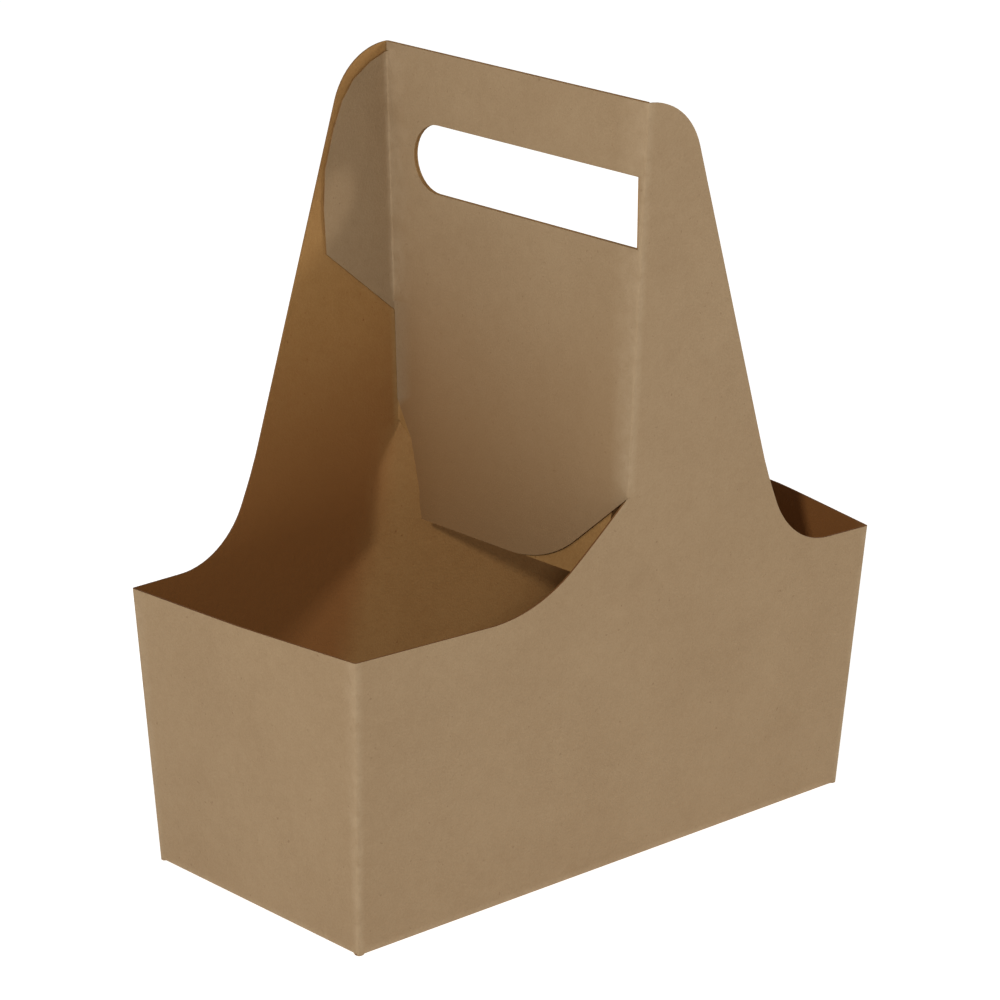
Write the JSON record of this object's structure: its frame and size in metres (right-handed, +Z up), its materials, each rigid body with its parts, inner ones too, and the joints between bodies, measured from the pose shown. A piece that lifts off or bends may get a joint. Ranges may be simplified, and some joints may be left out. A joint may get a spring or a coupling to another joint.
{
  "type": "cardboard cup carrier",
  "caption": "Folded kraft board carrier for take-away cups, with an open bay on each side of a tall handle that has a hand hole.",
  "frame": {"origin": "middle of the underside of the floor", "axes": "+X along the long side, +Y from the near side panel to the far one, +Z up to the handle"},
  "size_m": [0.2206, 0.1172, 0.2414],
  "materials": {
    "kraft_board": "matt brown kraft board"
  },
  "bodies": {
    "root": {"carrier_sheet": "kraft_board"}
  },
  "joints": []
}
